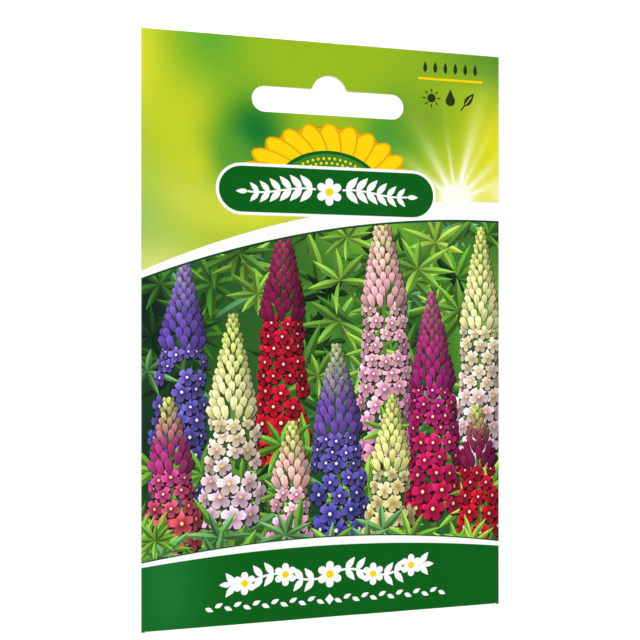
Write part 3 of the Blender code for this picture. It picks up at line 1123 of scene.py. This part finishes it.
def rings_round_sun(rings=30, spokes=121, ring_step=0.85, turn_step=1.6, closest=0.12, right_end=39.6):
    """Loose points in half rings over the sun, none closer to the next in its ring than closest."""
    points = []
    for ring in range(rings):
        for number in range(spokes):
            out = 0.6 + ring_step * ring
            angle = math.radians(-4 + turn_step * (number + 0.5 * (ring % 2)))
            spot = (SUN_S + out * math.cos(angle), SUN_R + out * math.sin(angle))
            if spot[0] < right_end and out * math.radians(turn_step) > closest:
                points.append(spot)
    return points


coarse = sown(-FLAP_FREE_EDGE, FLAP_FREE_EDGE, -12.0, HEIGHT, 3.0)
fine = sown(-39.0, 39.0, 74.0, HEIGHT, 1.6) + rings_round_sun()
fine += sown(-39.0, -20.0, 0.0, 14.0, 1.4) + sown(-39.0, 39.0, 16.0, 88.0, 2.4)
print("loose points:", len(coarse), "coarse and", len(fine), "fine")

# %% [markdown]
# ## Triangulate again
# The second triangulation takes the edges that show, the fold lines and the loose points. It knows nothing
# of inks, so a ray dropped on the first mesh tells each new triangle which shape is on top there. Triangles
# off the blank or in the slot are left out.


# %% Triangulate the print
def triangulate(points, edges, loose):
    """Triangles over the sheet with these edges, the fold lines and loose points, each with its ink."""
    points = list(points)
    edges = list(edges)
    for line in fold_lines():
        route = divided(line)
        edges += [(len(points) + k, len(points) + k + 1) for k in range(len(route) - 1)]
        points += route
    points += loose
    places, _, faces, origins, _, _ = delaunay_2d_cdt(
        [Vector(p) for p in points], edges, [], 0, MERGE, True)
    kept = []
    for face in faces:
        s, r = middle(face, places)
        hit = ink_tree.ray_cast(Vector((s, r, 1)), Vector((0, 0, -1)))[2]
        if hit is None:
            hit = ink_tree.find_nearest(Vector((s, r, 0)))[2]
        if pile_ink[hit] >= 0:
            kept.append((face, pile_ink[hit]))
    return [tuple(p) for p in places], kept, origins


ink_tree = BVHTree.FromPolygons([(p.x, p.y, 0) for p in pile_points], pile_faces)
shown = sorted({v for edge in shown_edges for v in edge})
number_of = {v: k for k, v in enumerate(shown)}
print_points, print_faces, _ = triangulate(
    [tuple(pile_points[v]) for v in shown],
    [(number_of[a], number_of[b]) for a, b in shown_edges], coarse + fine)
print("triangles of the print:", len(print_faces))

# %% [markdown]
# ## Two skins of one sheet
# The printed outside and the bare inside are two skins, half the paper's thickness to each side of the
# folded sheet. Solidify would do this too, but it would copy every edge of the print to the inside. So the
# inside is triangulated again, coarsely, from the same rim.


# %% The inside of the sheet
def rim_edges(faces):
    """The edges with a face on one side only, in the direction of that face."""
    found = {}
    for face, _ in faces:
        for a, b in zip(face, face[1:] + face[:1]):
            if (b, a) in found:
                del found[(b, a)]
            else:
                found[(a, b)] = True
    return list(found)


outer_rim = rim_edges(print_faces)
rim_points = sorted({v for edge in outer_rim for v in edge})
rim_number = {v: k for k, v in enumerate(rim_points)}
inner_points, inner_faces, origins = triangulate(
    [print_points[v] for v in rim_points],
    [(rim_number[a], rim_number[b]) for a, b in outer_rim], coarse)
inner_rim_of = {}
for new, olds in enumerate(origins):
    for old in olds:
        if old < len(rim_points):
            inner_rim_of[rim_points[old]] = new
print("rim:", len(outer_rim), "edges outside and", len(rim_edges(inner_faces)), "inside")


# %% [markdown]
# ## Fold the sheet
# Every point is folded to its place and moved along the sheet's normal there, outwards for the print and
# inwards for the bare side. The normal comes from two short steps on the sheet, one across it and one up
# it. The step across goes towards the middle, so that it never leaves the sheet. A strip of bare paper
# joins the two rims.


# %% Build the two skins and the rim
def skin_point(s, r, side):
    """A point of the folded sheet, moved half the paper's thickness outwards (1) or inwards (-1)."""
    step = 0.02
    inwards = math.copysign(step, s)
    here = Vector(fold(s, r))
    along = (here - Vector(fold(s - inwards, r))) * inwards
    up = Vector(fold(s, r + step)) - Vector(fold(s, r - step))
    out = along.cross(up).normalized()
    point = here + out * (side * PAPER / 2)
    return point.x / 1000, point.y / 1000, (point.z - PEG_HEIGHT) / 1000


def used_points(points, faces, side):
    used = sorted({v for face, _ in faces for v in face})
    return {v: k for k, v in enumerate(used)}, [skin_point(*points[v], side) for v in used]


outer_number, outer_places = used_points(print_points, print_faces, 1)
inner_number, inner_places = used_points(inner_points, inner_faces, -1)
start = len(outer_places)
skin_faces = [[outer_number[v] for v in face] for face, _ in print_faces]
skin_faces += [[start + inner_number[v] for v in reversed(face)] for face, _ in inner_faces]
for a, b in outer_rim:
    low_a, low_b = start + inner_number[inner_rim_of[a]], start + inner_number[inner_rim_of[b]]
    skin_faces.append([outer_number[b], outer_number[a], low_a, low_b])
packet_mesh = bpy.data.meshes.new("printed_packet")
packet_mesh.from_pydata(outer_places + inner_places, [], skin_faces)
packet_mesh.polygons.foreach_set(
    "material_index", [0] * len(print_faces) + [1] * (len(skin_faces) - len(print_faces)))
packet = bpy.data.objects.new("printed_packet", packet_mesh)
bpy.context.scene.collection.objects.link(packet)
print("sheet:", len(packet_mesh.vertices), "points,", len(packet_mesh.polygons), "faces")

# %% [markdown]
# ## Ink and map
# The inks go into a colour attribute. They lie on the corners of the faces, so two neighbours can differ
# sharply at their common edge. A shader works in linear light, so each ink is converted on the way. The
# sheet also gets a flat map of itself, as it lay in the press, with the front panel largest and the inside
# in a corner.


# %% Lay the ink and the map
MAP_SIZE = 126.0
BACK_MAP_SIZE = 262.0


def map_place(s, r, zone):
    """Where a point of the sheet lies on its own map."""
    if zone == "front":
        return (s + BLEED + 0.1) / MAP_SIZE, (r + 0.9) / MAP_SIZE
    if zone == "bottom":
        return 0.65 + (s + FOLD_X) / BACK_MAP_SIZE, 0.5 + (r + BOTTOM_FLAP_HEIGHT) / BACK_MAP_SIZE
    start_across = 0.646 if zone == "left" else 0.822
    return start_across + (abs(s) - BLEED) / BACK_MAP_SIZE, 0.004 + r / BACK_MAP_SIZE


def zone_of(s, r):
    if abs(s) > BLEED:
        return "left" if s < 0 else "right"
    return "bottom" if r < BOTTOM_FLAP_FOLD else "front"


def inside_place(s, r):
    return 0.66 + 0.0018 * (s + FLAP_FREE_EDGE), 0.62 + 0.0018 * (r + BOTTOM_FLAP_HEIGHT)


inks = []
spots = []
for face, shape in print_faces:
    rule = SHAPES[shape][1]
    zone = zone_of(*middle(face, print_points))
    for s, r in (print_points[v] for v in face):
        inks.append(rule(s, r) if callable(rule) else rule)
        spots.append(map_place(s, r, zone))
for face, _ in inner_faces:
    spots += [inside_place(*inner_points[v]) for v in reversed(face)]
for a, b in outer_rim:
    spots += [inside_place(*print_points[v]) for v in (b, a, a, b)]
inks += [WHITE] * (len(spots) - len(inks))
inks = np.clip(np.array(inks), 0, 1)
linear = np.where(inks <= 0.04045, inks / 12.92, ((inks + 0.055) / 1.055) ** 2.4)
layer = packet_mesh.color_attributes.new("print", "FLOAT_COLOR", "CORNER")
layer.data.foreach_set("color", np.hstack([linear, np.ones((len(linear), 1))]).ravel())
own_map = packet_mesh.uv_layers.new(name="OFBake")
own_map.data.foreach_set("uv", np.array(spots).ravel())
print("corners with ink:", len(linear))

# %% [markdown]
# ## Tools for finishes
# All finishes here are made the same way: noise on Object coordinates that varies a colour or a roughness a
# little, and a finer noise as bump. Object coordinates stay with the piece when it is moved or seen from
# elsewhere. These few functions save wiring the same nodes again for each finish.


# %% Helpers for finishes
FIBRE_HEIGHT = 0.03


def new_finish(name, roughness):
    finish = bpy.data.materials.new(name)
    finish.use_nodes = True
    nodes = finish.node_tree.nodes
    shader = nodes["Principled BSDF"]
    shader.inputs["Roughness"].default_value = roughness
    return finish, nodes, finish.node_tree.links, shader


def noise(nodes, links, place, scale, detail, low, high, rough=0.5):
    """Noise on a place, stretched to run from low to high."""
    cloud = nodes.new("ShaderNodeTexNoise")
    cloud.inputs["Scale"].default_value = scale
    cloud.inputs["Detail"].default_value = detail
    cloud.inputs["Roughness"].default_value = rough
    links.new(place, cloud.inputs["Vector"])
    spread = nodes.new("ShaderNodeMapRange")
    spread.inputs["From Min"].default_value = 0.3
    spread.inputs["From Max"].default_value = 0.7
    spread.inputs["To Min"].default_value = low
    spread.inputs["To Max"].default_value = high
    links.new(cloud.outputs["Fac"], spread.inputs["Value"])
    return spread.outputs["Result"]


def times(nodes, links, colour, factor):
    """A colour multiplied by a grey factor."""
    product = nodes.new("ShaderNodeVectorMath")
    product.operation = "SCALE"
    links.new(colour, product.inputs[0])
    links.new(factor, product.inputs["Scale"])
    return product.outputs[0]


def fibres(nodes, links, place, shader, strength):
    """The faint tooth of paper, as bump."""
    tooth = nodes.new("ShaderNodeBump")
    tooth.inputs["Strength"].default_value = strength
    tooth.inputs["Distance"].default_value = FIBRE_HEIGHT / 1000
    links.new(noise(nodes, links, place, 2600, 4, 0, 1), tooth.inputs["Height"])
    links.new(tooth.outputs["Normal"], shader.inputs["Normal"])


print("the tooth of the paper is", FIBRE_HEIGHT, "mm high")

# %% [markdown]
# ## Printed side of the paper
# Coated paper has a soft satin shine and a faint tooth of fibres. Its ink comes from the colour attribute,
# a little darker than drawn, because even white paper gives back only part of the light. On the side folds
# the ink cracks, and the paper shows through in flecks: the further out on the fold, the more.


# %% Finish of the printed side
PAPER_WHITE = 0.86
CRACKS_FROM = FOLD_X + 0.05


def fold_cracks(nodes, links, place):
    """How much paper shows through the ink: nothing on the flat, a quarter on a fold's outer side."""
    split = nodes.new("ShaderNodeSeparateXYZ")
    links.new(place, split.inputs[0])
    side = nodes.new("ShaderNodeMath")
    side.operation = "ABSOLUTE"
    links.new(split.outputs["X"], side.inputs[0])
    near_fold = nodes.new("ShaderNodeMapRange")
    near_fold.inputs["From Min"].default_value = CRACKS_FROM / 1000
    near_fold.inputs["From Max"].default_value = (WIDTH / 2) / 1000
    links.new(side.outputs[0], near_fold.inputs["Value"])
    cracked = nodes.new("ShaderNodeMath")
    cracked.operation = "MULTIPLY"
    links.new(near_fold.outputs["Result"], cracked.inputs[0])
    links.new(noise(nodes, links, place, 900, 5, 0.0, 0.25), cracked.inputs[1])
    return cracked.outputs[0]


def printed_finish():
    finish, nodes, links, shader = new_finish("printed_coated_paper", 0.4)
    shader.inputs["Specular IOR Level"].default_value = 0.06
    place = nodes.new("ShaderNodeTexCoord").outputs["Object"]
    inked = nodes.new("ShaderNodeAttribute")
    inked.attribute_name = "print"
    grain = noise(nodes, links, place, 1500, 3, PAPER_WHITE - 0.012, PAPER_WHITE + 0.012)
    colour = times(nodes, links, inked.outputs["Color"], grain)
    worn = nodes.new("ShaderNodeMix")
    worn.data_type = "RGBA"
    worn.inputs["B"].default_value = (0.8, 0.8, 0.78, 1)
    links.new(fold_cracks(nodes, links, place), worn.inputs["Factor"])
    links.new(colour, worn.inputs["A"])
    links.new(worn.outputs["Result"], shader.inputs["Base Color"])
    links.new(noise(nodes, links, place, 420, 3, 0.36, 0.46), shader.inputs["Roughness"])
    fibres(nodes, links, place, shader, 0.12)
    return finish


packet.data.materials.append(printed_finish())
print("nodes in the printed finish:", len(packet.data.materials[0].node_tree.nodes))

# %% [markdown]
# ## Bare side of the paper
# The inside and the cut edges are uncoated: rougher than the print, white with a slight warm cast, and
# flecked by fibres. The bare sides of the paper are the second finish of the same piece.


# %% Finish of the bare side
def bare_finish():
    finish, nodes, links, shader = new_finish("bare_paper", 0.85)
    place = nodes.new("ShaderNodeTexCoord").outputs["Object"]
    white = nodes.new("ShaderNodeRGB")
    white.outputs[0].default_value = (0.82, 0.82, 0.80, 1)
    fleck = noise(nodes, links, place, 1800, 5, 0.93, 1.03)
    links.new(times(nodes, links, white.outputs[0], fleck), shader.inputs["Base Color"])
    fibres(nodes, links, place, shader, 0.35)
    return finish


packet.data.materials.append(bare_finish())
print("finishes of the packet:", [finish.name for finish in packet.data.materials])

# %% [markdown]
# The sheet is shaded smooth where it swells gently, and the cut edges stay sharp, because they turn by more
# than the angle given. Then the piece is attached to the root, and the envelope solid that it replaces is
# hidden.

# %% Dress the packet
bpy.ops.object.select_all(action="DESELECT")
packet.select_set(True)
bpy.context.view_layer.objects.active = packet
bpy.ops.object.shade_smooth_by_angle(angle=math.radians(35))
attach(packet, "root")
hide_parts("envelope")
print("smooth faces:", sum(polygon.use_smooth for polygon in packet_mesh.polygons))

# %% [markdown]
# ## Seeds
# The seeds keep the solids' own meshes and only get a coat. It is dull, brown and mottled: a rough noise
# runs through a ramp from nearly black to a light brown.


# %% Finish of the seeds
def seed_finish():
    finish, nodes, links, shader = new_finish("seed_coat", 0.5)
    place = nodes.new("ShaderNodeTexCoord").outputs["Object"]
    ramp = nodes.new("ShaderNodeValToRGB")
    ramp.color_ramp.elements[0].color = (0.035, 0.022, 0.012, 1)
    ramp.color_ramp.elements[1].color = (0.30, 0.21, 0.12, 1)
    links.new(noise(nodes, links, place, 1400, 6, 0.1, 0.9, 0.65), ramp.inputs["Fac"])
    links.new(ramp.outputs["Color"], shader.inputs["Base Color"])
    links.new(noise(nodes, links, place, 2400, 3, 0.4, 0.62), shader.inputs["Roughness"])
    fibres(nodes, links, place, shader, 0.3)
    return finish


seed_coat = seed_finish()
seeds = [node for name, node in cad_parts.items() if name.startswith("seed")]
for seed in seeds:
    seed.data.materials.clear()
    seed.data.materials.append(seed_coat)
print("seeds with a coat:", len(seeds))

# %% [markdown]
# ## Studio
# The packet hangs in a light tent: a wide pale floor whose four sides are pulled up into walls, with the
# bend between them rounded. The cloth of the tent glows a little, as it does when lamps stand behind it, so
# the light comes evenly from all around and the print keeps its true colours.


# %% Light tent
TENT_WIDE = 3.2
TENT_HIGH = 2.4
TENT_BEND = 0.8
FLOOR_Z = cad_low[2] - 0.4
bpy.ops.object.select_all(action="DESELECT")
bpy.ops.mesh.primitive_plane_add(size=TENT_WIDE, location=(0, 0, FLOOR_Z))
tent = bpy.context.object
tent.name = "light_tent"
bpy.ops.object.mode_set(mode="EDIT")
bpy.ops.mesh.select_mode(type="EDGE")
bpy.ops.mesh.select_all(action="SELECT")
bpy.ops.mesh.extrude_edges_move(TRANSFORM_OT_translate={"value": (0, 0, TENT_HIGH)})
bpy.ops.mesh.select_all(action="SELECT")
bpy.ops.mesh.normals_make_consistent(inside=True)
bpy.ops.object.mode_set(mode="OBJECT")
bend = tent.modifiers.new("bend", "BEVEL")
bend.width = TENT_BEND
bend.segments = 20
bpy.ops.object.modifier_apply(modifier="bend")
bpy.ops.object.transform_apply(location=True, rotation=False, scale=False)
bpy.ops.object.shade_smooth()
cloth, _, _, cloth_shader = new_finish("tent_cloth", 0.9)
cloth_shader.inputs["Base Color"].default_value = (0.6, 0.6, 0.6, 1)
cloth_shader.inputs["Specular IOR Level"].default_value = 0.0
cloth_shader.inputs["Emission Color"].default_value = (1, 1, 1, 1)
cloth_shader.inputs["Emission Strength"].default_value = 0.42
tent.data.materials.append(cloth)
print("tent:", len(tent.data.polygons), "faces, floor at z =", round(FLOOR_Z, 3), "m")


# %% [markdown]
# ## Light
# Three large soft lamps help the glow of the tent: the key at the upper left, a weaker fill at the right
# and one behind, for the view from there. The camera doesn't see the lamps themselves. Colours are shown as
# they are, without a film look, so that white paper and print keep their values.


# %% Light
def soft_lamp(name, place, aim, size, power):
    lamp = bpy.data.lights.new(name, "AREA")
    lamp.shape = "SQUARE"
    lamp.size = size
    lamp.energy = power
    body = bpy.data.objects.new(name, lamp)
    bpy.context.scene.collection.objects.link(body)
    body.location = place
    body.rotation_euler = (Vector(aim) - Vector(place)).to_track_quat("-Z", "Y").to_euler()
    body.visible_camera = False


centre = (0, 0, (cad_low[2] + cad_high[2]) / 2)
soft_lamp("key", (-0.9, -1.1, 0.9), centre, 1.2, 4.6)
soft_lamp("fill", (1.3, -0.7, 0.6), centre, 1.2, 1.8)
soft_lamp("back", (0.7, 1.2, 0.9), centre, 1.2, 4.2)
world = bpy.data.worlds.new("studio")
world.use_nodes = True
world.node_tree.nodes["Background"].inputs["Color"].default_value = (1, 1, 1, 1)
world.node_tree.nodes["Background"].inputs["Strength"].default_value = 0.9
bpy.context.scene.world = world
bpy.context.scene.view_settings.view_transform = "Standard"

# %% [markdown]
# ## Camera
# The camera is level and stands a little to the left of the packet. Its place comes from the packet's
# outline in the picture: the left edge is 605 of 640 pixels tall and the right edge 547, so the left edge
# is nearer.


# %% Camera
IMAGE = 640
LENS_PIXELS = 822
SENSOR = 36.0
LEFT_PIXEL, LEFT_TALL = 141.2, 605.3
RIGHT_PIXEL, RIGHT_TALL = 499.1, 546.5
LEVEL_PIXEL = 331.75
LEFT_LOW_PIXEL = 633.0

left_far = HEIGHT / 1000 * LENS_PIXELS / LEFT_TALL
right_far = HEIGHT / 1000 * LENS_PIXELS / RIGHT_TALL
left_across = (LEFT_PIXEL - IMAGE / 2) / LENS_PIXELS * left_far
right_across = (RIGHT_PIXEL - IMAGE / 2) / LENS_PIXELS * right_far
turn = math.atan2(right_far - left_far, right_across - left_across)
ahead = Vector((math.sin(turn), math.cos(turn), 0))
right = Vector((math.cos(turn), -math.sin(turn), 0))
left_edge = Vector((cad_low[0], -(FOLD_RADIUS + PAPER / 2) / 1000, 0))
eye = left_edge - left_across * right - left_far * ahead
eye.z = cad_low[2] + (LEFT_LOW_PIXEL - LEVEL_PIXEL) / LEFT_TALL * HEIGHT / 1000
camera_data = bpy.data.cameras.new("camera")
camera_data.sensor_width = SENSOR
camera_data.lens = LENS_PIXELS / IMAGE * SENSOR
camera_data.shift_y = (LEVEL_PIXEL - IMAGE / 2) / IMAGE
camera_data.clip_start = 0.01
camera = bpy.data.objects.new("camera", camera_data)
bpy.context.scene.collection.objects.link(camera)
camera.location = eye
camera.rotation_euler = (math.radians(90), 0, -turn)
bpy.context.scene.camera = camera
print("camera turned", round(math.degrees(turn), 2), "degrees, lens", round(camera_data.lens, 2), "mm")

# %% [markdown]
# ## Last update
# Last, the view layer is updated. The box of all that shows has to agree with the box of the solids, because
# other parts are placed by the solids.

# %% Update the scene
bpy.context.view_layer.update()
